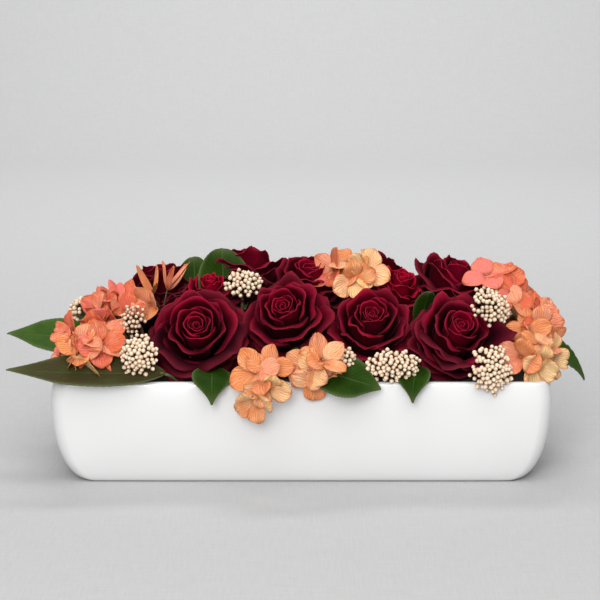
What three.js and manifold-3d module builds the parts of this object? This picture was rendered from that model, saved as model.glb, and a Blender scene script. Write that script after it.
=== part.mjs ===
// A flower box: a long glazed ceramic trough, two bricks of dry floral foam cut to fit it, and preserved
// roses, hydrangea sprigs, rice flower sprigs and leaves whose stems are pushed into the foam.
// Millimetres, +Z up. The origin is the centre of the trough's flat foot, X runs along the trough and -Y is
// the front.
import * as THREE from "three";
import { mergeVertices } from "three/addons/utils/BufferGeometryUtils.js";
import Module from "manifold-3d";

const wasm = await Module();
wasm.setup();

// ---- Driving dimensions -------------------------------------------------------------------------------

// The trough.
const TROUGH_LENGTH = 310; // at its widest, a little under the rim
const TROUGH_DEPTH = 112;
const TROUGH_HEIGHT = 65;
const BELLY_BELOW_RIM = 13; // how far under the rim the walls are widest
const FOOT_INSET_END = 22.5; // how far the foot stands in from the widest point, at each end
const FOOT_INSET_SIDE = 8; // and at the front and back
const RIM_TUCK = 2; // how far the rim leans back in
const WALL = 5;
const FLOOR = 6;
const CORNER_RADIUS = 10;
const FOOT_CORNER_RADIUS = 8;
const PROFILE_POWER = 2.15; // 2 would be an ellipse; more is squarer

// The foam.
const FOAM_CLEARANCE = 0.5; // to the trough's walls and floor
const FOAM_BELOW_RIM = 3;
const FOAM_BRICK_LENGTH = 230; // a standard brick, the rest is an offcut
const FOAM_JOINT = 0.6;

// The stems.
const GAP = 0.3; // round every stem in the foam, and between pieces that touch
const WIRE_RADIUS = 0.6;
const STEM_RADIUS = 1.1; // hydrangea and rice flower
const STALK_RADIUS = 0.9; // leaves
const STEM_DEPTH = 26; // how deep a stem goes into the foam
const FOOT_MARGIN = 6; // from a stem's foot to the foam's edge

// A rose head, as it comes from the grower: a short green stub under the bloom.
const ROSE_WIDTH = 57;
const ROSE_HEIGHT = 44;
const SMALL_ROSE_WIDTH = 33;
const SMALL_ROSE_HEIGHT = 30;
const STUB_LENGTH = 8;
const STUB_RADIUS = 3;
const WIRE_IN_STUB = 7;

const LEAF_THICKNESS = 0.7;
const LEAF_DROOP_POWER = 1.5; // 1 bends a leaf evenly, more bends it mostly near its tip
const LEAF_FOLD = 0.16; // how far the blade folds up along its midrib, as a share of its half width
const STALK_OVERLAP = 3; // how far the stalk runs on under the blade

// ---- Where everything stands --------------------------------------------------------------------------
// along and across are shares of the trough's half length and half depth, so that a longer trough spreads
// its flowers. rise is in mm above the rim. lean is the tilt from upright in degrees, towards the compass
// bearing: 0 is the front, 90 the right end, 180 the back and -90 the left end.

function table(columns, rows) {
  const keys = columns.split(" ");
  return rows.map((row) => Object.fromEntries(row.map((value, i) => [keys[i], value])));
}

const ROSES = table("name along across rise lean bearing size", [
  ["rose_front_left",      -0.416, -0.43, 24, 52,   -4,  1.0],
  ["rose_front_mid_left",  -0.058,  -0.4, 33, 44,  -14, 0.95],
  ["rose_front_mid_right",  0.281, -0.42, 28, 38,    2,  0.9],
  ["rose_front_right",      0.625, -0.43, 23, 42,   22, 0.97],
  ["rose_back_left",        -0.59,  0.47, 40, 24, -150, 0.92],
  ["rose_back_mid_left",    -0.24,  0.56, 48, 26, -165, 0.93],
  ["rose_back_middle",      0.035,   0.3, 45, 18,    6, 0.94],
  ["rose_back_mid_right",     0.3,  0.72, 46, 22,  178, 0.86],
  ["rose_back_right",        0.63,  0.44, 43, 20,   75, 0.98],
]);

const SMALL_ROSES = table("name along across rise lean bearing size", [
  ["rose_small_left",  -0.38, 0.12, 42, 18, 10, 1.0],
  ["rose_small_right",   0.4, 0.16, 45, 26, 40, 1.0],
]);

// wide runs level across the head, tall the other way and thick along its stem.
const HYDRANGEAS = table("name along across rise lean bearing wide tall thick", [
  ["hydrangea_left_low",     -0.855, -0.64, 14, 66,  -36, 44, 40, 20],
  ["hydrangea_left_middle",   -0.79,  -0.2, 33, 50,  -58, 42, 38, 20],
  ["hydrangea_left_top",       -0.6, -0.08, 43, 24,  -60, 38, 34, 24],
  ["hydrangea_front_left",   -0.155, -1.13,  3, 90,   -3, 36, 46, 14],
  ["hydrangea_front_right",    0.05, -1.05,  9, 80,    4, 38, 34, 16],
  ["hydrangea_top",            0.21,  0.02, 55, 30,   -5, 44, 36, 20],
  ["hydrangea_right_top",      0.83,  0.12, 47, 42,   80, 42, 38, 20],
  ["hydrangea_right_middle",   0.97, -0.04, 25, 60,   58, 44, 36, 20],
  ["hydrangea_right_low",      0.93, -0.66, 10, 72,   34, 42, 28, 16],
  ["hydrangea_back_left",     -0.74,  0.92, 16, 66, -150, 38, 34, 18],
  ["hydrangea_back_right",     0.86,  0.78, 16, 66,  146, 38, 34, 18],
]);

const RICE_FLOWERS = table("name along across rise lean bearing wide tall thick reach", [
  ["rice_flower_left_upper",   -0.675, -0.55, 34, 64, -20, 19, 22, 11],
  ["rice_flower_left_lower",   -0.645, -0.87, 15, 72,  -8, 29, 30, 14],
  ["rice_flower_left_back",     -0.92,  0.34, 30, 46, -85, 22, 20, 12],
  ["rice_flower_top",          -0.235, -0.02, 51, 38,  10, 28, 24, 13, 4],
  ["rice_flower_front_middle",   0.15,  -0.9, 14, 70,   0, 26, 18, 11],
  ["rice_flower_front_right",    0.36, -0.93, 10, 72,   4, 40, 22, 13],
  ["rice_flower_right_upper",   0.775, -0.22, 39, 56,  28, 32, 29, 14],
  ["rice_flower_right_lower",    0.75,  -1.0,  9, 78,  10, 30, 34, 13],
  ["rice_flower_back",           0.05,   1.0, 12, 66, 176, 34, 24, 14],
]);

// A leaf springs from its stalk at along, across and rise, heads for its bearing, starts at pitch degrees
// above level and bends down by droop degrees on its way to the tip. roll turns it about its midrib.
const LEAVES = table("name along across rise bearing pitch droop roll length width", [
  ["leaf_left_upper",   -0.79, -0.02,  12,  -92,  8, 10, -26, 66, 34],
  ["leaf_left_lower",   -0.54, -0.88, 4.6,  -86,  0, -7, -28, 97, 29],
  ["leaf_left_round",   -0.77,   0.7,  12,  -96, 16, 16, -24, 38, 24],
  ["leaf_top_right",    -0.32,   0.2,  29, -170, 84, 22,   4, 42, 34],
  ["leaf_top_left",     -0.44,  0.27,  29, -172, 80, 24,  -8, 36, 24],
  ["leaf_front_left",   -0.36, -0.62, 4.5,    3,  4, 86,   0, 39, 29],
  ["leaf_front_middle", 0.077,  -1.0, 6.5,   77, -8, 18,  40, 38, 31],
  ["leaf_front_right",   0.47, -0.62, 4.5,  -10,  4, 86,   4, 37, 24],
  ["leaf_middle",        0.49,  0.02,  22,   20, 66, 16,   0, 30, 20],
  ["leaf_right",         0.87,  0.34,   6,   96,  5, 80,  34, 65, 22],
  ["leaf_back_left",    -0.42,  0.85,   4, -168, 12, 50,   4, 56, 32],
  ["leaf_back_right",    0.45,  0.85,   4,  160, 12, 50,  -4, 56, 32],
]);

// ---- Materials ----------------------------------------------------------------------------------------

const material = (color, roughness) => new THREE.MeshStandardMaterial({ color, roughness, metalness: 0 });
const GLAZE = material(0xf1f0ee, 0.25);
const FOAM = material(0x4d5240, 0.95);
const CRIMSON = material(0x5a0b1e, 0.7);
const BRIGHT_CRIMSON = material(0x7a0a20, 0.7);
const CORAL = material(0xe0744d, 0.65);
const CREAM = material(0xeae0c4, 0.7);
const GREEN = material(0x33562b, 0.45);
const WIRE = material(0x2f4a2c, 0.5);

// ---- Solids -------------------------------------------------------------------------------------------

const UP = new THREE.Vector3(0, 0, 1);
const radians = THREE.MathUtils.degToRad;

function solidOf(geometry) {
  const bare = geometry.index ? geometry.toNonIndexed() : geometry.clone();
  bare.deleteAttribute("normal");
  bare.deleteAttribute("uv");
  const merged = mergeVertices(bare, 1e-3);
  return new wasm.Manifold(
    new wasm.Mesh({
      numProp: 3,
      vertProperties: merged.attributes.position.array,
      triVerts: new Uint32Array(merged.index.array),
    }),
  );
}

function geometryOf(solid) {
  const mesh = solid.getMesh();
  const geometry = new THREE.BufferGeometry();
  geometry.setAttribute("position", new THREE.BufferAttribute(mesh.vertProperties, 3));
  geometry.setIndex(new THREE.BufferAttribute(mesh.triVerts, 1));
  return geometry;
}

// A closed solid through rings of points that all have the same count, its two end rings capped flat.
function loft(rings) {
  const count = rings[0].length;
  const positions = [];
  const triangle = (a, b, c) => positions.push(...a.toArray(), ...b.toArray(), ...c.toArray());
  for (let level = 1; level < rings.length; level++) {
    for (let i = 0; i < count; i++) {
      const next = (i + 1) % count;
      const [a, b] = [rings[level - 1][i], rings[level - 1][next]];
      const [c, d] = [rings[level][next], rings[level][i]];
      triangle(a, b, c);
      triangle(a, c, d);
    }
  }
  const cap = (ring, facingUp) => {
    const centre = ring.reduce((sum, p) => sum.add(p), new THREE.Vector3()).divideScalar(count);
    for (let i = 0; i < count; i++) {
      const next = (i + 1) % count;
      if (facingUp) triangle(centre, ring[i], ring[next]);
      else triangle(centre, ring[next], ring[i]);
    }
  };
  cap(rings[0], false);
  cap(rings.at(-1), true);
  const geometry = new THREE.BufferGeometry();
  geometry.setAttribute("position", new THREE.Float32BufferAttribute(positions, 3));
  return geometry;
}

// A ring of points round a rectangle with round corners, at height z.
function roundedRing(halfLength, halfDepth, corner, z) {
  const CORNER_STEPS = 5;
  const ring = [];
  for (let quarter = 0; quarter < 4; quarter++) {
    const centreX = (halfLength - corner) * (quarter === 0 || quarter === 3 ? 1 : -1);
    const centreY = (halfDepth - corner) * (quarter < 2 ? 1 : -1);
    for (let step = 0; step <= CORNER_STEPS; step++) {
      const angle = ((quarter + step / CORNER_STEPS) * Math.PI) / 2;
      const [outX, outY] = [corner * Math.cos(angle), corner * Math.sin(angle)];
      ring.push(new THREE.Vector3(centreX + outX, centreY + outY, z));
    }
  }
  return ring;
}

// ---- The trough's shape, which the foam follows -------------------------------------------------------

const BELLY_HEIGHT = TROUGH_HEIGHT - BELLY_BELOW_RIM;

// How far the outer wall stands in from its widest at height z, where the foot stands in by footInset.
function wallInset(z, footInset) {
  if (z >= BELLY_HEIGHT) return RIM_TUCK * ((z - BELLY_HEIGHT) / BELLY_BELOW_RIM) ** 2;
  const down = (BELLY_HEIGHT - z) / BELLY_HEIGHT;
  return footInset * (1 - (1 - down ** PROFILE_POWER) ** (1 / PROFILE_POWER));
}

function cornerAt(z) {
  const share = Math.min(1, z / BELLY_HEIGHT);
  return FOOT_CORNER_RADIUS + (CORNER_RADIUS - FOOT_CORNER_RADIUS) * share;
}

// Where the rings of the inner wall and of the foam stand, as shares of the way up.
const INNER_STEPS = [1, 0.8, 0.55, 0.35, 0.18, 0.07, 0];

// The outline at height z, moved in by offset.
function troughRing(z, offset, atHeight = z) {
  return roundedRing(
    TROUGH_LENGTH / 2 - wallInset(z, FOOT_INSET_END) - offset,
    TROUGH_DEPTH / 2 - wallInset(z, FOOT_INSET_SIDE) - offset,
    Math.max(cornerAt(z) - offset, 1),
    atHeight,
  );
}

// The trough, or with grow and a higher floor the room that it and its foam take up.
function troughSolid(floor, grow) {
  const rings = [];
  const LOW_STEPS = [0, 0.012, 0.04, 0.09, 0.17, 0.28, 0.42, 0.6, 0.8, 1];
  for (const share of LOW_STEPS) rings.push(troughRing(BELLY_HEIGHT * share, -grow));
  const lipRadius = WALL / 2 + grow;
  const lipBase = TROUGH_HEIGHT - WALL / 2;
  rings.push(troughRing((BELLY_HEIGHT + lipBase) / 2, -grow));
  const LIP_STEPS = 6;
  for (let step = 0; step <= LIP_STEPS; step++) {
    const angle = (Math.PI * step) / LIP_STEPS;
    const offset = lipRadius * (1 - Math.cos(angle)) - grow;
    rings.push(troughRing(lipBase, offset, lipBase + lipRadius * Math.sin(angle)));
  }
  for (const share of INNER_STEPS) {
    const z = floor + (lipBase - floor) * share;
    if (share < 1) rings.push(troughRing(z, WALL + grow));
  }
  return solidOf(loft(rings));
}

const FOAM_TOP = TROUGH_HEIGHT - FOAM_BELOW_RIM;
const FOAM_BOTTOM = FLOOR + FOAM_CLEARANCE;
const FOAM_OFFSET = WALL + FOAM_CLEARANCE;

// Foam is soft enough to be cut to the trough's slope, and is pushed in from above.
function foamSolid() {
  const rings = INNER_STEPS.toReversed().map((share) => {
    const z = FOAM_BOTTOM + (FOAM_TOP - FOAM_BOTTOM) * share;
    return troughRing(z, FOAM_OFFSET);
  });
  return solidOf(loft(rings));
}

// ---- Placing ------------------------------------------------------------------------------------------

const headingOf = (bearing) =>
  new THREE.Vector3(Math.sin(radians(bearing)), -Math.cos(radians(bearing)), 0);

function axisOf({ lean, bearing }) {
  const level = headingOf(bearing).multiplyScalar(Math.sin(radians(lean)));
  return level.add(UP.clone().multiplyScalar(Math.cos(radians(lean))));
}

const placeOf = ({ along, across, rise }) =>
  new THREE.Vector3((along * TROUGH_LENGTH) / 2, (across * TROUGH_DEPTH) / 2, TROUGH_HEIGHT + rise);

// The turn that lays a head's own Z along its axis and keeps its own X level.
function turnOf(axis) {
  const right = new THREE.Vector3().crossVectors(UP, axis);
  if (right.lengthSq() < 1e-6) right.set(1, 0, 0);
  right.normalize();
  const across = new THREE.Vector3().crossVectors(axis, right);
  return new THREE.Matrix4().makeBasis(right, across, axis);
}

// The foot of a stem in the foam: under the stem's top, moved back by reach, and kept inside the foam.
function footUnder(top, axis, reach) {
  const limitX = TROUGH_LENGTH / 2 - FOOT_INSET_END - FOAM_OFFSET - FOOT_MARGIN;
  const limitY = TROUGH_DEPTH / 2 - FOOT_INSET_SIDE - FOAM_OFFSET - FOOT_MARGIN;
  const x = THREE.MathUtils.clamp(top.x - axis.x * reach, -limitX, limitX);
  const y = THREE.MathUtils.clamp(top.y - axis.y * reach, -limitY, limitY);
  return new THREE.Vector3(x, y, FOAM_TOP - STEM_DEPTH);
}

// A stem from its foot in the foam, upright at first, that bends over to meet its head along axis.
function stemCurve(top, axis, foot, bend) {
  const height = top.z - foot.z;
  return new THREE.CubicBezierCurve3(
    foot,
    foot.clone().addScaledVector(UP, height * 0.72),
    top.clone().addScaledVector(axis, -bend),
    top,
  );
}

function tube(curve, radius, steps) {
  const SIDES = 6;
  const section = new THREE.Shape();
  section.absarc(0, 0, radius, 0, 2 * Math.PI);
  const HALF_SIDES = SIDES / 2; // an arc is cut into twice its curveSegments
  return solidOf(
    new THREE.ExtrudeGeometry(section, {
      steps,
      curveSegments: HALF_SIDES,
      extrudePath: curve,
      bevelEnabled: false,
    }),
  );
}

// ---- Blooms -------------------------------------------------------------------------------------------

// A rose head of one size: stub, calyx and cup, turned about Z with the stub's end at the origin, and a
// bore up the stub for the wire. grow makes it larger all over, for cutting its neighbours.
function roseHead(width, height, size, grow) {
  const PROFILE_SEGMENTS = 14;
  const radius = (width / 2) * size + grow;
  const tall = height * size;
  const at = (share) => STUB_LENGTH + tall * share;
  const outline = [
    [STUB_RADIUS + grow, -grow],
    [STUB_RADIUS + grow, STUB_LENGTH * 0.8],
    [radius * 0.4, at(0.04)],
    [radius * 0.84, at(0.24)],
    [radius, at(0.58)],
    [radius * 0.9, at(0.84)],
    [radius * 0.55, at(0.97)],
    [0, at(1) + grow],
  ];
  const bore = [
    [0, WIRE_IN_STUB + GAP],
    [WIRE_RADIUS + GAP, WIRE_IN_STUB + GAP],
    [WIRE_RADIUS + GAP, 0],
  ];
  const start = grow > 0 ? [[0, -grow]] : bore;
  const points = [...start, ...outline].map(([r, z]) => new THREE.Vector2(r, z));
  const turned = new THREE.LatheGeometry(points, PROFILE_SEGMENTS);
  turned.rotateX(Math.PI / 2); // a lathe turns about Y, and a head stands on Z
  return turned;
}

// The middle of a head's cup, above the stub's end.
const cupMiddle = (height, size) => STUB_LENGTH + height * size * 0.55;

function placedRose(rose, width, height) {
  const axis = axisOf(rose);
  const stubEnd = placeOf(rose).addScaledVector(axis, -cupMiddle(height, rose.size));
  const place = turnOf(axis).setPosition(stubEnd);
  const made = (grow) => {
    const turned = roseHead(width, height, rose.size, grow).applyMatrix4(place);
    return solidOf(turned);
  };
  const WIRE_BEND = 9;
  const wireTop = stubEnd.clone().addScaledVector(axis, WIRE_IN_STUB);
  const wireLeaves = stubEnd.clone().addScaledVector(axis, -1);
  const foot = footUnder(wireLeaves, axis, 10);
  const route = new THREE.CurvePath();
  route.add(stemCurve(wireLeaves, axis, foot, WIRE_BEND));
  route.add(new THREE.LineCurve3(wireLeaves, wireTop));
  const WIRE_STEPS = 9;
  return {
    name: rose.name,
    pivot: stubEnd,
    head: made(0),
    grown: made(GAP),
    wire: tube(route, WIRE_RADIUS, WIRE_STEPS),
    hole: tube(route, WIRE_RADIUS + GAP, WIRE_STEPS),
  };
}

// A sprig's head: a dome on a shallow cone, as wide and tall as its florets spread, on a bent stem.
function placedSprig(sprig) {
  const DOME_SEGMENTS = 10;
  const axis = axisOf(sprig);
  const middle = placeOf(sprig);
  const base = middle.clone().addScaledVector(axis, -sprig.thick / 2);
  const place = turnOf(axis).setPosition(base);
  const dome = (grow) => {
    const profile = [
      [0, -grow],
      [0.4, sprig.thick * 0.08 - grow],
      [0.85, sprig.thick * 0.25 - grow],
      [1, sprig.thick * 0.45],
      [0.86, sprig.thick * 0.72 + grow / 2],
      [0.5, sprig.thick * 0.93 + grow],
      [0, sprig.thick + grow],
    ].map(([r, z]) => new THREE.Vector2(r, z));
    const turned = new THREE.LatheGeometry(profile, DOME_SEGMENTS);
    turned.rotateX(Math.PI / 2);
    turned.scale(sprig.wide / 2 + grow, sprig.tall / 2 + grow, 1);
    return solidOf(turned.applyMatrix4(place));
  };
  const inHead = base.clone().addScaledVector(axis, sprig.thick * 0.3);
  const foot = footUnder(base, axis, sprig.reach ?? 14);
  const curve = stemCurve(inHead, axis, foot, sprig.thick * 0.3 + 11);
  const STEM_STEPS = 6;
  return {
    name: sprig.name,
    pivot: middle,
    head: dome(0),
    grown: dome(GAP),
    stem: tube(curve, STEM_RADIUS, STEM_STEPS),
    hole: tube(curve, STEM_RADIUS + GAP, STEM_STEPS),
  };
}

// ---- Leaves -------------------------------------------------------------------------------------------

// Half the blade's width at share t of its length: full near the middle and drawn out to a point.
function bladeHalfWidth(t, width) {
  const NARROWEST = 0.6;
  return NARROWEST + (width / 2 - NARROWEST) * Math.sin(Math.PI * t ** 0.82) ** 0.8;
}

function placedLeaf(leaf) {
  const heading = headingOf(leaf.bearing);
  const level = new THREE.Vector3().crossVectors(heading, UP);
  const STATIONS = 8;
  const base = placeOf(leaf);
  const midrib = [];
  const point = base.clone();
  for (let i = 0; i <= STATIONS; i++) {
    const pitch = radians(leaf.pitch - leaf.droop * (i / STATIONS) ** LEAF_DROOP_POWER);
    const tangent = heading.clone().multiplyScalar(Math.cos(pitch)).addScaledVector(UP, Math.sin(pitch));
    const side = level.clone().applyAxisAngle(tangent, radians(leaf.roll));
    const normal = new THREE.Vector3().crossVectors(side, tangent);
    midrib.push({ point: point.clone(), tangent, side, normal });
    point.addScaledVector(tangent, leaf.length / STATIONS);
  }
  // Each ring runs round the blade's section: over the top from one edge to the other and back under.
  const ACROSS = [-1, 0, 1];
  const blade = (grow) => {
    const rings = midrib.map(({ point: at, side, normal }, i) => {
      const half = bladeHalfWidth(Math.min(i / STATIONS, 0.985), leaf.width) + grow;
      const spot = (v, lift) =>
        at.clone().addScaledVector(side, v * half).addScaledVector(normal, LEAF_FOLD * half * v * v + lift);
      const over = ACROSS.map((v) => spot(v, LEAF_THICKNESS / 2 + grow));
      const under = ACROSS.toReversed().map((v) => spot(v, -LEAF_THICKNESS / 2 - grow));
      return [...over, ...under];
    });
    if (grow > 0) {
      rings[0].forEach((p) => p.addScaledVector(midrib[0].tangent, -grow));
      rings.at(-1).forEach((p) => p.addScaledVector(midrib.at(-1).tangent, grow));
    }
    const made = solidOf(loft(rings));
    return made.volume() > 0 ? made : solidOf(loft(rings.map((ring) => ring.toReversed())));
  };
  const first = midrib[0];
  const top = base.clone().addScaledVector(first.tangent, STALK_OVERLAP);
  const foot = footUnder(base, first.tangent, leaf.reach ?? 12);
  const curve = stemCurve(top, first.tangent, foot, STALK_OVERLAP + 6);
  const STALK_STEPS = 5;
  return {
    name: leaf.name,
    pivot: base,
    blade: blade(0),
    grown: blade(GAP),
    stalk: tube(curve, STALK_RADIUS, STALK_STEPS),
    hole: tube(curve, STALK_RADIUS + GAP, STALK_STEPS),
  };
}

// ---- Assembly -----------------------------------------------------------------------------------------

const arrangement = new THREE.Group();

// Each piece turns about a point of its own: a stub's end, the middle of a sprig's head, a leaf's base.
function addPart(group, name, solid, finish, pivot = new THREE.Vector3()) {
  const geometry = geometryOf(solid).translate(-pivot.x, -pivot.y, -pivot.z);
  const mesh = new THREE.Mesh(geometry, finish.clone());
  mesh.name = name;
  mesh.position.copy(pivot);
  group.add(mesh);
}

function groupIn(parent) {
  const group = new THREE.Group();
  parent.add(group);
  return group;
}

// solid without what others take up, as soft petals give way to what they press on. A petal's edge that
// ends up beyond a stem or leaf is given up, so that the head stays one body.
function clearOf(solid, others) {
  let left = solid;
  for (const other of others) left = left.subtract(other);
  return left.decompose().reduce((largest, body) => (body.volume() > largest.volume() ? body : largest));
}

const trough = troughSolid(FLOOR, 0);
const troughAndFoam = troughSolid(FOAM_TOP + GAP, GAP);
const roses = ROSES.map((rose) => placedRose(rose, ROSE_WIDTH, ROSE_HEIGHT));
const smallRoses = SMALL_ROSES.map((rose) => placedRose(rose, SMALL_ROSE_WIDTH, SMALL_ROSE_HEIGHT));
const hydrangeas = HYDRANGEAS.map(placedSprig);
const riceFlowers = RICE_FLOWERS.map(placedSprig);
const leaves = LEAVES.map(placedLeaf);

const blooms = [...roses, ...smallRoses];
const sprigs = [...hydrangeas, ...riceFlowers];
const holes = [...blooms, ...sprigs, ...leaves].map((piece) => piece.hole);

addPart(arrangement, "trough", trough, GLAZE);

const foam = holes.reduce((left, hole) => left.subtract(hole), foamSolid());
const brickEnd = -TROUGH_LENGTH / 2 + WALL + FOAM_BRICK_LENGTH; // the full brick fills the left end
const slab = (fromX, toX) =>
  solidOf(
    new THREE.BoxGeometry(toX - fromX, TROUGH_DEPTH, TROUGH_HEIGHT * 2).translate((fromX + toX) / 2, 0, 0),
  );
const foamGroup = groupIn(arrangement);
addPart(foamGroup, "foam_brick", foam.intersect(slab(-TROUGH_LENGTH, brickEnd)), FOAM);
addPart(foamGroup, "foam_offcut", foam.intersect(slab(brickEnd + FOAM_JOINT, TROUGH_LENGTH)), FOAM);

// Stems and leaves keep their shape. Each head gives way to every other piece's stem, to the leaves and to
// the heads placed before it: the firm rice flowers come first, then the roses, then the loose hydrangeas.
const placedHeads = [];
const leafBlades = leaves.map((leaf) => leaf.grown);

function headOf(piece) {
  const othersStems = [...blooms, ...sprigs, ...leaves].filter((other) => other !== piece);
  const stemHoles = othersStems.map((other) => other.hole);
  const made = clearOf(piece.head, [troughAndFoam, ...stemHoles, ...leafBlades, ...placedHeads]);
  placedHeads.push(piece.grown);
  return made;
}

const riceGroup = groupIn(arrangement);
for (const sprig of riceFlowers) {
  addPart(riceGroup, sprig.name, headOf(sprig).add(sprig.stem), CREAM, sprig.pivot);
}

const roseGroup = groupIn(arrangement);
for (const rose of blooms) {
  const finish = smallRoses.includes(rose) ? BRIGHT_CRIMSON : CRIMSON;
  addPart(roseGroup, rose.name, headOf(rose), finish, rose.pivot);
  addPart(roseGroup, rose.name.replace("rose", "wire"), rose.wire, WIRE, rose.pivot);
}

const hydrangeaGroup = groupIn(arrangement);
for (const sprig of hydrangeas) {
  addPart(hydrangeaGroup, sprig.name, headOf(sprig).add(sprig.stem), CORAL, sprig.pivot);
}

const leafGroup = groupIn(arrangement);
for (const leaf of leaves) addPart(leafGroup, leaf.name, leaf.blade.add(leaf.stalk), GREEN, leaf.pivot);

export default arrangement;
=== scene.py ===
# %% [markdown]
# # A flower box of preserved flowers
#
# A long white glazed trough holds dry foam, and roses, hydrangeas, rice flowers and leaves are pushed into
# the foam. The engineering model gives every piece its size and place as a plain solid. This lesson loads
# those solids as a fixed frame, measures each one, and makes the real surface in its place.
#
# Everything is in metres, +X runs along the trough, the front faces -Y and +Z is up.

import math
import random
from types import SimpleNamespace

import bpy
import numpy as np
from mathutils import Matrix, Vector
from mathutils.bvhtree import BVHTree


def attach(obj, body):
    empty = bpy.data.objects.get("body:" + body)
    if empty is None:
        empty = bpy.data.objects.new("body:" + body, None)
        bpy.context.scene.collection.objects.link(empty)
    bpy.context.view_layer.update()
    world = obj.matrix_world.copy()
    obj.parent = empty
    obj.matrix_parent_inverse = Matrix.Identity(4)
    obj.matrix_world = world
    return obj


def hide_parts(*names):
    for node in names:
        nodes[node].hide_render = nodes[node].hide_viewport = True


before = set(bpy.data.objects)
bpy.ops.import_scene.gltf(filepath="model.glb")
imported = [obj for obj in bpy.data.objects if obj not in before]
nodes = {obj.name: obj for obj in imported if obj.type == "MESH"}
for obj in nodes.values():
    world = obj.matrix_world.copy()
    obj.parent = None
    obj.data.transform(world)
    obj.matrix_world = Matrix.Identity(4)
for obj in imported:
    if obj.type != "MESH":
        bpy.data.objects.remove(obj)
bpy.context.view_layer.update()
names_of = {
    kind: sorted(name for name in nodes if name.startswith(kind))
    for kind in ("rose", "wire", "hydrangea", "rice_flower", "leaf", "foam")
}
print("frame:", len(nodes), "nodes,", {kind: len(found) for kind, found in names_of.items()})

# %% [markdown]
# ## Small helpers
#
# An operator works on everything that is selected, so each step starts from a clean selection. A copy gets a
# mesh of its own, so that no two pieces share one.

# %% Helpers for selecting, editing, joining and copying
MM = 0.001


def mode(name):
    bpy.ops.object.mode_set(mode=name)


def clear_selection():
    if bpy.context.mode != "OBJECT":
        mode("OBJECT")
    bpy.ops.object.select_all(action="DESELECT")


def pick(*objects):
    """Selects these objects only, the last one active."""
    clear_selection()
    for each in objects:
        each.select_set(True)
    bpy.context.view_layer.objects.active = objects[-1]


def edit_only(mesh, kind, wanted):
    """Edits the active mesh with only the wanted ones of its polygons, edges or vertices selected."""
    mode("EDIT")
    bpy.ops.mesh.select_all(action="DESELECT")
    mode("OBJECT")
    for each in getattr(mesh, kind):
        each.select = wanted(each)
    mode("EDIT")


def extrude(lift, wider_x, wider_y):
    """Extrudes what is selected upwards by lift mm, and resizes it about the Z axis."""
    bpy.ops.mesh.extrude_region_move(TRANSFORM_OT_translate={"value": (0, 0, lift * MM)})
    bpy.ops.transform.resize(value=(wider_x, wider_y, 1), center_override=(0, 0, 0))


def face_outwards():
    """Turns the faces of the active mesh outwards, and leaves edit mode."""
    mode("EDIT")
    bpy.ops.mesh.select_all(action="SELECT")
    bpy.ops.mesh.normals_make_consistent(inside=False)
    mode("OBJECT")


def apply_all(piece):
    pick(piece)
    for modifier in list(piece.modifiers):
        bpy.ops.object.modifier_apply(modifier=modifier.name)


def thicken(sheet, thickness, offset=0):
    """Gives a sheet its thickness in mm, half on each side, or all behind it where offset is -1."""
    wall = sheet.modifiers.new("thickness", "SOLIDIFY")
    wall.thickness = thickness * MM
    wall.offset = offset
    apply_all(sheet)


def join(parts, name):
    pick(*parts)
    if len(parts) > 1:
        bpy.ops.object.join()
    whole = bpy.context.view_layer.objects.active
    whole.name = name
    whole.data.name = name
    return whole


def copy_at(original, place):
    """A copy with its own mesh, moved by the matrix place."""
    copy = original.copy()
    copy.data = original.data.copy()
    copy.data.transform(place)
    bpy.context.scene.collection.objects.link(copy)
    return copy


def mark(piece, name, values):
    """Writes one number for each vertex, for the materials to read."""
    layer = piece.data.attributes.get(name) or piece.data.attributes.new(name, "FLOAT", "POINT")
    if np.isscalar(values):
        values = np.full(len(piece.data.vertices), values)
    layer.data.foreach_set("value", np.asarray(values, dtype=np.float32))


def mark_all(piece, rim, climb, tone):
    """Writes the three numbers that the finishes read."""
    mark(piece, "rim", rim)
    mark(piece, "climb", climb)
    mark(piece, "tone", tone)


def points_of(mesh):
    """The mesh's points in mm, one in each row."""
    points = np.empty(len(mesh.vertices) * 3)
    mesh.vertices.foreach_get("co", points)
    return points.reshape(-1, 3) / MM


def discard(*objects):
    for each in objects:
        bpy.data.objects.remove(each)


print("helpers ready")

# %% [markdown]
# ## Measuring a solid of the frame
#
# A sprig's solid is a thick head on a thin stem, and a leaf's is a thin blade on a stalk. To find the head
# or the blade alone, a ray goes from the middle of every triangle straight through the solid: where it
# comes out soon the solid is thin, where it takes long it is thick. The triangles that are left give a
# centre and three directions, from how their area is spread.

# %% Measure the solids
HEAD_THICKNESS = (3.2, 1000)  # mm: a stem is thinner
BLADE_THICKNESS = (0.2, 1.3)  # mm: a stalk is thicker
STEM_PART = 12  # mm above the foot that are only stem
SLIVER = 1e-4  # square mm
UNDER_SKIN = 0.02  # mm that a ray starts inside


def corners_of(name):
    """The solid's corners in mm, and its triangles as three corner numbers each."""
    mesh = nodes[name].data
    triangles = np.empty(len(mesh.loops), dtype=np.int64)
    mesh.loops.foreach_get("vertex_index", triangles)
    return points_of(mesh), triangles.reshape(-1, 3)


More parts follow.
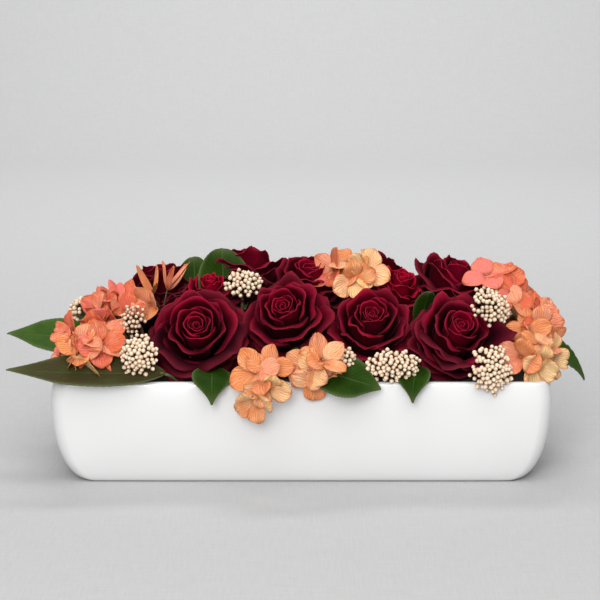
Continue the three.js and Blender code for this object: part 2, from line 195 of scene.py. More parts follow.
def spread(name, thinnest, thickest):
    """Centre, directions (widest first) and corners of the part of a solid that is so thick."""
    corners, triangles = corners_of(name)
    a, b, c = (corners[triangles[:, i]] for i in range(3))
    cross = np.cross(b - a, c - a)
    area = np.linalg.norm(cross, axis=1) / 2
    middle = (a + b + c) / 3
    tree = BVHTree.FromPolygons([Vector(p) for p in corners], triangles.tolist())
    above_stem = middle[:, 2] > corners[:, 2].min() + STEM_PART
    keep = np.zeros(len(triangles), dtype=bool)
    for i in np.nonzero(area > SLIVER)[0]:
        inward = -Vector(cross[i]).normalized()
        distance = tree.ray_cast(Vector(middle[i]) + inward * UNDER_SKIN, inward)[3]
        keep[i] = above_stem[i] and distance is not None and thinnest < distance < thickest
    weight = area[keep, None]
    centre = (middle[keep] * weight).sum(0) / weight.sum()
    away = middle[keep] - centre
    directions = np.linalg.eigh((away * weight).T @ away)[1][:, ::-1].T
    return centre, directions, corners[np.unique(triangles[keep])], tree


def foot_of(name):
    """Where a stem or stalk ends, down in the foam."""
    corners, _ = corners_of(name)
    low = corners[corners[:, 2] < corners[:, 2].min() + 0.5]
    return low.mean(0)


def head_of(name):
    """A sprig's head: its middle, its half sizes, and its directions level, up the head and outwards."""
    centre, directions, corners, _ = spread(name, *HEAD_THICKNESS)
    outward = directions[2]
    if outward @ (centre - foot_of(name)) < 0:
        outward = -outward
    level = np.cross([0, 0, 1], outward)
    level /= np.linalg.norm(level)
    upward = np.cross(outward, level)
    axes = np.array([level, upward, outward])
    reach = (corners - centre) @ axes.T
    low, high = reach.min(0), reach.max(0)
    return SimpleNamespace(middle=centre + ((low + high) / 2) @ axes, half=(high - low) / 2, axes=axes)


heads = {name: head_of(name) for name in names_of["hydrangea"] + names_of["rice_flower"]}
for name, head in heads.items():
    print(name, "middle", head.middle.round(0), "half sizes", head.half.round(0))

# %% [markdown]
# ## The trough
#
# The real trough is slip-cast: liquid clay fills a plaster mould, so it has one even wall, soft corners and
# a foot that is smaller than its middle. It could be one box with bevels, but its ends curve under much
# further than its front. So it is built as a potter would read it, ring by ring: a plane the size of the
# foot gets round corners, and its face is extruded and resized to each ring of the solid in turn, up the
# outside, over the lip and down the inside. A subdivision surface then makes it smooth.

# %% Read the rings of the trough's wall
SAME_HEIGHT = 0.02  # mm
SAME_LINE = 0.05  # mm
WALL_SHOWS = 0.3  # mm of wall between two rings at one height
STEP_INWARDS = 2.5  # mm from the last outer ring to an inner one


def rings_of(name):
    """The wall's rings as (height, half length, half depth), up the outside and down the inside."""
    corners, _ = corners_of(name)
    corners = corners[np.abs(corners[:, 0]) > 1]
    outer, inner = [], []
    for z in np.unique(corners[:, 2].round(2)):
        at = np.abs(corners[np.abs(corners[:, 2] - z) < SAME_HEIGHT])
        ends = at[at[:, 1] < at[:, 1].min() + SAME_LINE][:, 0]
        sides = at[at[:, 0] < at[:, 0].min() + SAME_LINE][:, 1]
        outer_ring, inner_ring = (z, ends.max(), sides.max()), (z, ends.min(), sides.min())
        if ends.max() - ends.min() > WALL_SHOWS:
            outer.append(outer_ring)
            inner.append(inner_ring)
        elif outer and outer[-1][1] - ends.max() > STEP_INWARDS:
            inner.append(inner_ring)
        else:
            outer.append(outer_ring)
    return outer + inner[::-1]


rings = rings_of("trough")
print("trough:", len(rings), "rings, widest", max(ring[1] for ring in rings) * 2, "mm")

# %% Build the trough from its foot
CORNER_RADIUS = 9 * MM
last_z, half_x, half_y = rings[0]
clear_selection()
bpy.ops.mesh.primitive_plane_add(size=2, location=(0, 0, last_z * MM))
trough = bpy.context.object
trough.scale = (half_x * MM, half_y * MM, 1)
bpy.ops.object.transform_apply(location=True, rotation=True, scale=True)
mode("EDIT")
bpy.ops.mesh.select_all(action="SELECT")
bpy.ops.mesh.bevel(offset=CORNER_RADIUS, segments=6, affect="VERTICES")
bpy.ops.mesh.select_all(action="SELECT")
for z, next_x, next_y in rings[1:]:
    extrude(z - last_z, next_x / half_x, next_y / half_y)
    last_z, half_x, half_y = z, next_x, next_y
face_outwards()
smooth = trough.modifiers.new("smooth", "SUBSURF")
smooth.levels = smooth.render_levels = 2
apply_all(trough)
bpy.ops.object.shade_smooth()
trough = join([trough], "glazed_trough")
print("trough:", len(trough.data.polygons), "faces")

# %% [markdown]
# ## A maker of finishes
#
# A finish is a network of nodes round one shader. Noise, a number written on the piece, or the flat map of a
# petal goes through a little arithmetic to a colour ramp, and the same patterns raise the surface as a bump.

# %% Make the maker of finishes
class Finish:
    """A new material with the shader's plain numbers set, and short ways to add nodes to it."""

    def __init__(self, name, numbers):
        self.material = bpy.data.materials.new(name)
        self.material.use_nodes = True
        self.tree = self.material.node_tree
        self.shader = self.tree.nodes["Principled BSDF"]
        for socket, value in numbers.items():
            self.shader.inputs[socket].default_value = value
        coordinates = self.node("TexCoord").outputs
        self.place = coordinates["Object"]
        self.flat_map = coordinates["UV"]

    def node(self, kind, inputs=(), **settings):
        made = self.tree.nodes.new("ShaderNode" + kind)
        for key, value in settings.items():
            setattr(made, key, value)
        for key, value in dict(inputs).items():
            if isinstance(value, bpy.types.NodeSocket):
                self.tree.links.new(value, made.inputs[key])
            else:
                made.inputs[key].default_value = value
        return made

    def number(self, name):
        """The number of this name that is written on the piece."""
        return self.node("Attribute", attribute_name=name).outputs["Fac"]

    def noise(self, scale, detail, where=None, roughness=0.5):
        where = self.place if where is None else where
        inputs = {"Vector": where, "Scale": scale, "Detail": detail, "Roughness": roughness}
        return self.node("TexNoise", inputs).outputs["Fac"]

    def cells(self, scale):
        return self.node("TexVoronoi", {"Vector": self.place, "Scale": scale}).outputs["Distance"]

    def stretched(self, where, scale):
        return self.node("Mapping", {"Vector": where, "Scale": scale}).outputs["Vector"]

    def split_map(self):
        """How far across and how far up the flat map."""
        parts = self.node("SeparateXYZ", {"Vector": self.flat_map}).outputs
        return parts["X"], parts["Y"]

    def math(self, operation, *values, **settings):
        return self.node("Math", dict(enumerate(values)), operation=operation, **settings).outputs[0]

    def weighted(self, value, weight, rest):
        """value times weight, plus rest."""
        return self.math("MULTIPLY_ADD", value, weight, rest)

    def rescaled(self, value, low, high, top=1.0):
        """0 where value is low, and top where it is high."""
        inputs = {"Value": value, "From Min": low, "From Max": high, "To Max": top}
        return self.node("MapRange", inputs).outputs["Result"]

    def ramp(self, factor, *stops):
        """A colour ramp of (place, colour) stops."""
        made = self.node("ValToRGB", {"Fac": factor})
        elements = made.color_ramp.elements
        while len(elements) < len(stops):
            elements.new(0.5)
        for element, (place, colour) in zip(elements, stops):
            element.position = place
            element.color = (*colour, 1)
        return made.outputs["Color"]

    def mixed(self, factor, under, over):
        """The colour under with the colour over on it, as strong as factor."""
        inputs = {"Factor": factor, "A": under, "B": (*over, 1)}
        return self.node("Mix", inputs, data_type="RGBA").outputs["Result"]

    def bump(self, height, strength, distance, on=None):
        """A bump up to distance metres high, on another bump if there is one."""
        inputs = {"Height": height, "Strength": strength, "Distance": distance}
        if on is not None:
            inputs["Normal"] = on
        return self.node("Bump", inputs).outputs["Normal"]

    def done(self, colour, normal=None):
        """Links the colour and the bump to the shader, and gives back the material."""
        self.tree.links.new(colour, self.shader.inputs["Base Color"])
        if normal is not None:
            self.tree.links.new(normal, self.shader.inputs["Normal"])
        return self.material


print("finish maker ready")

# %% [markdown]
# ## White glaze
#
# A glaze is a thin layer of glass over the clay. The clear layer is the shader's coat, and the white body
# under it is nearly smooth. Poured glaze never lies quite even, so a broad, very low noise bends the
# reflections a little, and another one makes the white a shade darker in places.

# %% Make the glaze
finish = Finish("white_glaze", {"Roughness": 0.32, "Coat Weight": 0.4, "Coat Roughness": 0.12})
white = finish.ramp(finish.noise(14.0, 2.0), (0.3, (0.665, 0.665, 0.662)), (0.7, (0.695, 0.695, 0.692)))
pooled = finish.bump(finish.noise(22.0, 3.0), 0.25, 0.0006)
grain = finish.bump(finish.noise(900.0, 2.0), 0.05, 0.0001, on=pooled)
trough.data.materials.append(finish.done(white, grain))
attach(trough, "root")
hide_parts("trough")
print("glaze on the trough")

# %% [markdown]
# ## The foam and the wires
#
# Dry foam is a brittle grey-green block of fine open cells, and the wires are green florist's wire. Their
# solids have the right shape, so the frame's own pieces stay and only get a finish: Voronoi cells make the
# foam's pores, and a little noise keeps the wire's enamel from looking new.

# %% Finish the foam and the wires
finish = Finish("dry_foam", {"Roughness": 0.95})
patches = finish.ramp(finish.noise(60.0, 4.0), (0.3, (0.016, 0.022, 0.012)), (0.7, (0.035, 0.042, 0.024)))
foam_finish = finish.done(patches, finish.bump(finish.cells(1400.0), 0.6, 0.0005))

finish = Finish("green_wire", {"Roughness": 0.45})
wear = finish.noise(700.0, 3.0)
enamel = finish.ramp(wear, (0.4, (0.02, 0.05, 0.02)), (0.75, (0.07, 0.1, 0.05)))
wire_finish = finish.done(enamel, finish.bump(wear, 0.2, 0.0001))

for kind, material in (("foam", foam_finish), ("wire", wire_finish)):
    for name in names_of[kind]:
        nodes[name].material_slots[0].material = material
print("foam and wires finished")

# %% [markdown]
# ## One rose petal
#
# A rose petal is a thin sheet that climbs from the middle of the bloom, cups round it, and rolls outwards at
# its rim. The roll is strongest at both sides of the tip, which is what makes the tip pointed. It could be
# sculpted, but the eleven blooms have about four hundred petals, so one formula bends a flat grid into any
# petal from its radius, height, spread and roll. u runs from -1 to 1 across it and v from 0 to 1 up it.

# %% Bend a flat grid into a sheet
def bent_sheet(shape, across, along):
    """A grid of faces whose points go where shape(u, v), in mm, puts them."""
    bpy.ops.mesh.primitive_grid_add(x_subdivisions=across, y_subdivisions=along, size=2, calc_uvs=True)
    sheet = bpy.context.object
    flat = np.empty(len(sheet.data.vertices) * 3)
    sheet.data.vertices.foreach_get("co", flat)
    flat = flat.reshape(-1, 3)
    u, v = flat[:, 0], (flat[:, 1] + 1) / 2
    sheet.data.vertices.foreach_set("co", (shape(u, v) * MM).ravel())
    mark(sheet, "rim", np.maximum(0.8 * np.abs(u) ** 10, v**14))
    mark(sheet, "climb", v)
    return sheet


def petal_points(u, v, petal):
    side = np.abs(u)
    width = 0.42 + 0.58 * np.sin(np.pi / 2 * np.clip(v / 0.62, 0, 1))
    width = width - 0.2 * np.clip((v - 0.72) / 0.28, 0, 1) ** 2
    angle = petal.turn + petal.spread * width * u
    climb = np.clip(v / 0.74, 0, 1)
    height = petal.height * (1 - petal.shoulder * side**3)
    radius = petal.foot + (petal.radius - petal.foot) * np.sin(climb * np.pi / 2) ** 0.7
    radius = radius + petal.flare * climb**3
    rise = height * (1 - np.cos(climb * np.pi / 2)) ** 0.85
    # the rim: an arc that leaves the petal's slope and turns outwards and down
    tip = np.exp(-((u / 0.2) ** 2))
    lip = petal.lip * (1 - 0.55 * side**2.5 + petal.point * tip)
    roll = petal.roll * (0.72 + 0.55 * np.clip(side * 1.5, 0, 1) - 0.22 * tip)
    bend = roll / lip
    slope = math.pi / 2 - petal.open
    turned = slope - bend * lip * np.clip((v - 0.74) / 0.26, 0, 1)
    radius = radius + (np.sin(slope) - np.sin(turned)) / bend
    rise = rise + (np.cos(turned) - np.cos(slope)) / bend
    # one side tucks under its neighbour, and the edge waves a little
    radius = radius + petal.tuck * u * (0.5 + 0.5 * v)
    wave = petal.wave * v**2
    radius = radius + wave * np.sin(2.3 * np.pi * u + petal.phase)
    rise = rise + 0.8 * wave * np.sin(3.4 * np.pi * u + 2 * petal.phase)
    rise = rise + 0.25 * wave * v**5 * np.sin(9 * np.pi * u + 3 * petal.phase)
    radius = np.maximum(radius, 0.4)
    return np.stack([radius * np.cos(angle), radius * np.sin(angle), rise], axis=1)


print("petal formula ready")

# %% [markdown]
# ## A whole bloom
#
# From the heart outwards a rose has a tight coil, then rings of ever larger petals that stand less upright
# and roll back further. Each row below is one ring. The roses at the two ends of the front row also have
# three tall petals that have fallen over the rim. A bloom is made at one standard size from its own seed, so
# that no two are alike, and is then turned onto its wire and scaled to its solid.

# %% Build a bloom
RINGS = [
    # petals, radius, height, spread, lip, roll, open, flare, point, shoulder
    (2, 2.2, 40.0, 2.6, 0.8, 15, 0, 0.0, 0.0, 0.03),
    (3, 4.6, 42.0, 1.7, 1.0, 50, 0, 0.0, 0.1, 0.05),
    (3, 7.4, 43.0, 1.5, 1.3, 80, 0, 0.0, 0.3, 0.07),
    (3, 10.4, 42.5, 1.35, 1.7, 95, 3, 0.4, 0.5, 0.1),
    (3, 14.4, 38.5, 1.3, 3.4, 95, 10, 1.4, 0.5, 0.13),
    (4, 17.6, 32.0, 1.15, 5.6, 74, 26, 3.2, 0.5, 0.15),
    (4, 18.6, 24.0, 1.2, 8.0, 62, 40, 4.4, 0.4, 0.17),
    (5, 18.0, 15.0, 1.1, 8.8, 64, 50, 4.6, 0.35, 0.2),
    (5, 16.5, 8.0, 1.15, 11.0, 62, 52, 5.0, 0.3, 0.2),
    (4, 14.5, 3.5, 1.35, 13.0, 80, 54, 5.5, 0.2, 0.2),
]
FALLEN = (3, 15.0, 46.0, 1.0, 12.0, 85, 13, 6.0, 0.3, 0.2)
FALLEN_START = -math.pi / 2 - 1.8
FALLEN_STEP = 0.9
HEART_RINGS = 2  # rings whose petals follow a spiral
HEART_STEP = 2.4
PETAL_FOOT = 1.5  # mm from the bloom's axis
PETAL_THICKNESS = 0.32
ANY_TURN = 6.28  # radians


def build_bloom(seed, over_rim):
    """A bloom on the origin, its stub's top at z = 0, in a size of about 57 by 42 mm."""
    rings = RINGS + [FALLEN] if over_rim else RINGS
    draw = random.Random(seed).uniform
    turn = draw(0, ANY_TURN)
    petals = []
    for ring, (count, radius, height, arc, lip, roll, opened, flare, point, shoulder) in enumerate(rings):
        in_heart = ring < HEART_RINGS
        step = HEART_STEP if in_heart else 2 * math.pi / count
        if ring == len(RINGS):
            turn = FALLEN_START
            step = FALLEN_STEP
        for _ in range(count):
            turn += step
            # the petals on the low side (-Y) have fallen open, the ones on the high side still stand
            stands = math.sin(turn) * max(0.0, ring - 3) / 5
            hangs = max(0.0, -stands)
            petal = SimpleNamespace(
                turn=turn + draw(-0.16, 0.16),
                spread=arc * draw(0.92, 1.08),
                radius=radius * draw(0.94, 1.06) * (1 + 0.24 * hangs),
                height=height * draw(0.96, 1.03) * (1 + 0.26 * stands),
                foot=PETAL_FOOT,
                lip=lip * draw(0.8, 1.25),
                roll=math.radians(roll * draw(0.8, 1.25)),
                open=math.radians(opened * draw(0.75, 1.25) * (1 - 0.4 * stands)),
                flare=flare * draw(0.6, 1.3),
                point=point * draw(0.7, 1.3),
                shoulder=shoulder,
                tuck=min(1.3, 0.09 * radius + 0.5),
                wave=0.018 * radius**1.5 * draw(0.4, 1.6),
                phase=draw(0, ANY_TURN),
            )
            sheet = bent_sheet(lambda u, v: petal_points(u, v, petal), 14 if in_heart else 18, 16)
            mark(sheet, "tone", 0.95 - 0.11 * ring + draw(-0.15, 0.2))
            petals.append(sheet)
        turn += 1.1 * math.pi / count
    bloom = join(petals, "bloom")
    thicken(bloom, PETAL_THICKNESS)
    bpy.ops.object.shade_smooth()
    return bloom


print("a bloom has", sum(ring[0] for ring in RINGS), "petals, or", FALLEN[0], "more over the rim")

# %% [markdown]
# ## The stub and its sepals
#
# Under the bloom the grower leaves a short piece of green stem, which widens into the hip, with five narrow
# green sepals folded back. The stub is a cylinder whose top face is extruded and resized to the hip.

# %% Build a stub with sepals
HIP = [(1.5, 1.3), (2.0, 1.45), (2.5, 1.25), (1.5, 0.8)]  # mm up, times as wide
SEPAL_COUNT = 5


def green_sepal(u, v):
    half = 2.6 * np.sin(np.pi * (0.25 + 0.75 * v)) ** 0.8 + 0.1
    out = 4.5 + 17 * v
    down = 3.0 + 2.0 * v - 9 * v**2
    return np.stack([out, u * half, down + 0.5 * u**2 * half], axis=1)


def build_stub():
    clear_selection()
    middle = (0, 0, -4.5 * MM)
    bpy.ops.mesh.primitive_cylinder_add(vertices=16, radius=2.8 * MM, depth=7 * MM, location=middle)
    stub = bpy.context.object
    bpy.ops.object.transform_apply(location=True)
    edit_only(stub.data, "polygons", lambda face: face.normal.z > 0.9)
    for lift, wider in HIP:
        extrude(lift, wider, wider)
    mode("OBJECT")
    bevel = stub.modifiers.new("soft edges", "BEVEL")
    bevel.width = 0.4 * MM
    apply_all(stub)
    mark_all(stub, rim=0.0, climb=0.5, tone=0.5)
    sepals = []
    for k in range(SEPAL_COUNT):
        sepal = bent_sheet(green_sepal, 6, 10)
        sepal.data.transform(Matrix.Rotation(k * 2 * math.pi / SEPAL_COUNT, 4, "Z"))
        mark(sepal, "tone", 0.3 + 0.1 * k)
        sepals.append(sepal)
    whorl = join(sepals, "sepals")
    thicken(whorl, 0.5, offset=-1)
    whole = join([whorl, stub], "stub")
    bpy.ops.object.shade_smooth_by_angle(angle=math.radians(50))
    return whole


stub_pattern = build_stub()
print("stub:", len(stub_pattern.data.polygons), "faces")

# %% [markdown]
# ## Velvet petals
#
# Preserved petals look like velvet. Their colour is painted darker towards each petal's foot, to nearly black
# deep in the bloom, which is painted shade, and deep red higher up. The thin rims are painted paler, a
# painted highlight where the rolled lips catch the light: the rim number written on each petal sets that
# edge. A petal's tone number makes each ring a little darker than the one inside it, a soft noise mottles the
# face, and a fine grain in the bump gives the nap. The sheen is low, so that the dark stays dark.

# %% Make the petal velvet
VELVET = {
    "Roughness": 0.62,
    "Specular IOR Level": 0.0,
    "Sheen Weight": 0.02,
    "Sheen Roughness": 0.45,
    "Sheen Tint": (1.0, 0.25, 0.35, 1),
}


def petal_velvet(name, deep, middle, face, rim):
    finish = Finish(name, VELVET)
    mottled = finish.weighted(finish.noise(110.0, 5.0, roughness=0.6), 0.5, -0.25)
    # painted shade: the colour darkens towards each petal's foot, deep in the bloom, and lightens towards its
    # top
    painted_shade_and_mottle = finish.weighted(finish.math("POWER", finish.number("climb"), 4.0), 0.5, mottled)
    toned = finish.weighted(finish.number("tone"), 0.65, painted_shade_and_mottle)
    body = finish.ramp(toned, (0.1, deep), (0.55, middle), (1.0, face))
    # painted highlight: the rim number paints the thin rims paler, where the rolled lips catch the light
    colour = finish.mixed(finish.math("MULTIPLY", finish.number("rim"), 0.4), body, rim)
    along_petal = finish.stretched(finish.flat_map, (34.0, 2.5, 1.0))
    ribbed = finish.bump(finish.noise(1.6, 4.0, along_petal), 0.3, 0.0005)
    nap = finish.bump(finish.noise(2600.0, 2.0), 0.25, 0.0002, on=ribbed)
    return finish.done(colour, nap)


burgundy = petal_velvet(
    "burgundy_velvet",
    deep=(0.012, 0.001, 0.003),
    middle=(0.068, 0.001, 0.006),
    face=(0.29, 0.002, 0.022),
    rim=(0.24, 0.03, 0.05),
)
crimson = petal_velvet(
    "crimson_velvet",
    deep=(0.05, 0.0005, 0.004),
    middle=(0.2, 0.001, 0.012),
    face=(0.42, 0.003, 0.028),
    rim=(0.38, 0.03, 0.05),
)

finish = Finish("stem_green", {"Roughness": 0.6})
streak = finish.noise(240.0, 3.0)
green = finish.ramp(streak, (0.35, (0.035, 0.06, 0.018)), (0.7, (0.10, 0.12, 0.045)))
stem_green = finish.done(green, finish.bump(streak, 0.3, 0.0003))
stub_pattern.data.materials.append(stem_green)
print("velvet and green ready")

# %% [markdown]
# ## Put each bloom on its wire
#
# The wire's last two rings of points give the place and the direction of the stub, and how far the rose's
# solid reaches round that line gives the size of the bloom.

# %% Place the roses
WIRE_IN_STUB = 7.0
WIRE_SIDES = 6
STUB_LENGTH = 8.0
SECTORS = 24
OVER_RIM = ("rose_front_left", "rose_front_right")
WIDER = 1.13  # times the solid's radius
WIDER_OVER_RIM = 1.19
SMALL_STUB = 0.8


def wire_end(rose):
    """The stub's lower end and the direction of the bloom."""
    corners, _ = corners_of(rose.replace("rose", "wire"))
    corners = np.unique(corners.round(3), axis=0)
    bloom_middle = corners_of(rose)[0].mean(0)
    order = np.argsort(np.linalg.norm(corners - bloom_middle, axis=1))
    end = corners[order[:WIRE_SIDES]].mean(0)
    before = corners[order[WIRE_SIDES : 2 * WIRE_SIDES]].mean(0)
    axis = (end - before) / np.linalg.norm(end - before)
    return end - axis * WIRE_IN_STUB, axis


def put_at(spot, facing, spin=0):
    """Spins a piece about +Z, turns +Z to facing, and moves the origin to spot, in mm."""
    level = Vector((0, 0, 1)).cross(Vector(facing)).normalized()
    across = Vector(facing).cross(level)
    turn = Matrix((level, across, Vector(facing))).transposed().to_4x4()
    return Matrix.Translation(Vector(spot) * MM) @ (turn @ Matrix.Rotation(spin, 4, "Z"))


def size_of(piece):
    """Usual reach of the outer petals, as the mean over all sectors, and the height."""
    corners = points_of(piece.data)
    reach = np.linalg.norm(corners[:, :2], axis=1)
    turn = np.arctan2(corners[:, 1], corners[:, 0]) + math.pi
    sector = (turn / (2 * math.pi) * SECTORS).astype(int) % SECTORS
    return np.mean([reach[sector == k].max() for k in range(SECTORS)]), corners[:, 2].max()


for number, name in enumerate(names_of["rose"]):
    stub_end, axis = wire_end(name)
    solid = corners_of(name)[0] - stub_end
    along = solid @ axis
    around = np.linalg.norm(solid - along[:, None] * axis, axis=1)
    over_rim = name in OVER_RIM
    small = "small" in name
    bloom = build_bloom(100 + number, over_rim)
    radius, height = size_of(bloom)
    wider = (WIDER_OVER_RIM if over_rim else WIDER) * around.max() / radius
    taller = (along.max() - STUB_LENGTH) / height
    bloom.data.transform(Matrix.Diagonal((wider, wider, taller, 1)))
    bloom.data.materials.append(crimson if small else burgundy)
    stub = copy_at(stub_pattern, Matrix.Scale(SMALL_STUB if small else 1.0, 4))
    flower = join([stub, bloom], name + "_bloom")
    flower.data.transform(put_at(stub_end + axis * STUB_LENGTH, axis))
    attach(flower, "root")
    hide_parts(name)
    print(name, "width", round(2 * around.max(), 1), "faces", len(flower.data.polygons))
discard(stub_pattern)

# %% [markdown]
# ## Stems and twigs
#
# A stem rises straight from the foam and bends over to its head: a Bezier curve with a round section, turned
# into a mesh. The fine stalks from it to the florets or buds are one curve object with a spline for each.

# %% Draw stems and twigs
STEM_RADIUS = 1.1
STALK_RADIUS = 0.9
FLORET_STALK_RADIUS = 0.45
TWIG_RADIUS = 0.22


def as_mesh(curve_object):
    pick(curve_object)
    bpy.ops.object.convert(target="MESH")
    made = bpy.context.object
    mark_all(made, rim=0.0, climb=0.0, tone=0.5)
    return made


def stem(foot, top, outward, radius, bend):
    """A round stem that rises from foot and bends over to go outward at top."""
    clear_selection()
    bpy.ops.curve.primitive_bezier_curve_add()
    line = bpy.context.object
    line.data.bevel_depth = radius * MM
    line.data.bevel_resolution = 2
    line.data.resolution_u = 10
    line.data.use_fill_caps = True
    start, end = line.data.splines[0].bezier_points
    rise = (top[2] - foot[2]) * 0.72
    start.co, end.co = Vector(foot) * MM, Vector(top) * MM
    for point, before, after in (
        (start, foot - [0, 0, rise], foot + [0, 0, rise]),
        (end, top - outward * bend, top + outward * bend),
    ):
        point.handle_left_type = point.handle_right_type = "FREE"
        point.handle_left, point.handle_right = Vector(before) * MM, Vector(after) * MM
    return as_mesh(line)


def head_stem(name, head, top):
    """A sprig's stem, up to just under its head."""
    return stem(foot_of(name), top, head.axes[2], STEM_RADIUS, head.half[2] * 0.6 + 9)


def twigs(ways, radius):
    """Thin stalks, each along its own list of points in mm."""
    data = bpy.data.curves.new("twigs", "CURVE")
    data.dimensions = "3D"
    data.bevel_depth = radius * MM
    data.bevel_resolution = 0
    data.use_fill_caps = True
    for way in ways:
        line = data.splines.new("POLY")
        line.points.add(len(way) - 1)
        for point, spot in zip(line.points, way):
            point.co = (*(np.asarray(spot) * MM), 1)
    made = bpy.data.objects.new("twigs", data)
    bpy.context.scene.collection.objects.link(made)
    return as_mesh(made)


print("stems ready")

# %% [markdown]
# ## A hydrangea floret
#
# What looks like a petal is a sepal: broad, nearly round, a little pointed, and wavy from drying. Four sit
# crosswise on a stalk round a tiny dark button. A few florets are modelled, from flat to nearly closed, and
# copied all over the heads.

# %% Build florets
SEPAL_THICKNESS = 0.28


def sepal_points(u, v, sepal):
    half = sepal.width / 2 * np.sin(np.pi * (0.04 + 0.925 * v**1.15)) ** 0.58
    long = sepal.length
    lift = sepal.lift
    phase = sepal.phase
    out = 0.6 + long * v * (1 - 0.05 * u**2)
    # folded along the middle, most of all halfway up
    closed = np.arctan(sepal.fold * (0.3 + 0.7 * v) * (1 - 0.7 * v**4))
    side = u * half * np.cos(closed)
    folded = np.abs(u) * half * np.sin(closed)
    folded = folded + 0.22 * v * np.sin(11 * u + phase) * np.abs(u)
    # cupped along its length, wavy at its sides and curled at its tip
    cup = sepal.cup * (v**1.6) * long * 0.5
    wave = sepal.wave * v * np.sin(2.1 * np.pi * u + phase) * (0.4 + 0.6 * np.abs(u))
    curl = sepal.curl * np.clip((v - 0.6) / 0.4, 0, 1) ** 2 * long * 0.25
    up = out * np.sin(lift) + cup + folded + wave + curl
    return np.stack([out * np.cos(lift) - cup * 0.2, side, up], axis=1)


def build_floret(seed, lift, size, folded):
    draw = random.Random(seed).uniform
    sepals = []
    for k in range(4):
        sepal = SimpleNamespace(
            length=size * draw(0.9, 1.08),
            width=size * draw(0.82, 1.04) * (1 - 0.45 * max(0.0, folded - 0.5)),
            lift=math.radians(lift + draw(-14, 14)),
            cup=draw(-0.14, 0.2),
            fold=draw(-0.6, 1.0) * folded * 2,
            wave=draw(0.4, 1.3),
            curl=draw(-0.8, 0.5),
            phase=draw(0, ANY_TURN),
        )
        sheet = bent_sheet(lambda u, v: sepal_points(u, v, sepal), 10, 10)
        mark(sheet, "tone", draw(-0.17, 0.17))
        turn = Matrix.Rotation(k * math.pi / 2 + draw(-0.18, 0.18), 4, "Z")
        # each second sepal lies over its neighbours
        sheet.data.transform(Matrix.Translation((0, 0, (k % 2) * 0.35 * MM)) @ turn)
        sepals.append(sheet)
    floret = join(sepals, "floret")
    thicken(floret, SEPAL_THICKNESS)
    clear_selection()
    bpy.ops.mesh.primitive_uv_sphere_add(segments=8, ring_count=6, radius=0.9 * MM, location=(0, 0, 0.7 * MM))
    button = bpy.context.object
    bpy.ops.object.transform_apply(location=True)
    mark_all(button, rim=1.0, climb=0.0, tone=0.0)
    floret = join([button, floret], "floret")
    bpy.ops.object.shade_smooth()
    return floret


FLORETS = [
    # seed, degrees that the sepals stand up, their length, how folded
    (1, 4, 15.5, 0.2),
    (2, 12, 16.5, 0.3),
    (3, 20, 15.5, 0.3),
    (4, -4, 15.0, 0.2),
    (5, 34, 16.0, 0.6),
    (6, 10, 14.0, 0.3),
    (7, 46, 16.0, 0.7),
    (8, 64, 20.0, 1.9),
]
CLOSED = 6  # from this pattern on, nearly closed
floret_patterns = [build_floret(*numbers) for numbers in FLORETS]
print("florets:", len(floret_patterns), "patterns,", len(floret_patterns[0].data.polygons), "faces each")

# %% [markdown]
# ## Dried sepal colours
#
# Hydrangea sepals dry unevenly: coral and salmon faces, golden where they bleached, browned along the rim,
# with fine dark veins that fan out from the claw. The veins are drawn round the claw in the sepal's own UV
# map, as the angle to it, and each floret's own number picks its colour from a ramp.

# %% Make the sepal finish
finish = Finish("dried_sepals", {"Roughness": 0.7, "Specular IOR Level": 0.3})
across, up = finish.split_map()
from_middle = finish.math("SUBTRACT", across, 0.5)
from_claw = finish.math("ADD", up, 0.35)
angle = finish.math("ARCTAN2", from_middle, from_claw)
wandered = finish.weighted(finish.noise(4.0, 3.0, finish.flat_map), 0.22, angle)
fan = finish.math("SINE", finish.math("MULTIPLY", wandered, 62.0))
veins = finish.rescaled(fan, 0.45, 1.0)
blotch = finish.noise(130.0, 5.0, roughness=0.65)
toned = finish.weighted(blotch, 0.5, finish.number("tone"))
body = finish.ramp(
    finish.math("SUBTRACT", toned, 0.25),
    (0.0, (0.82, 0.19, 0.15)),
    (0.16, (0.70, 0.13, 0.05)),
    (0.34, (0.82, 0.34, 0.21)),
    (0.5, (0.74, 0.25, 0.08)),
    (0.66, (0.87, 0.47, 0.25)),
    (0.85, (0.90, 0.60, 0.26)),
    (1.0, (0.72, 0.50, 0.26)),
)
veined = finish.mixed(finish.math("MULTIPLY", veins, 0.55), body, (0.34, 0.085, 0.04))
claw = finish.rescaled(finish.number("climb"), 0.22, 0.0, 0.7)
clawed = finish.mixed(claw, veined, (0.20, 0.06, 0.025))
rimmed = finish.mixed(finish.math("MULTIPLY", finish.number("rim"), 0.75), clawed, (0.62, 0.17, 0.045))
creased = finish.bump(veins, 0.7, 0.0004)
sepal_finish = finish.done(rimmed, finish.bump(blotch, 0.3, 0.0008, on=creased))
for pattern in floret_patterns:
    pattern.data.materials.append(sepal_finish)
print("sepals finished")

# %% [markdown]
# ## The hydrangea heads
#
# The florets cover the outside of each head like tiles on a dome, the middle ones facing outwards and the
# rim ones tipped over the edge. Each head has its own base colour, from coral to golden tan.

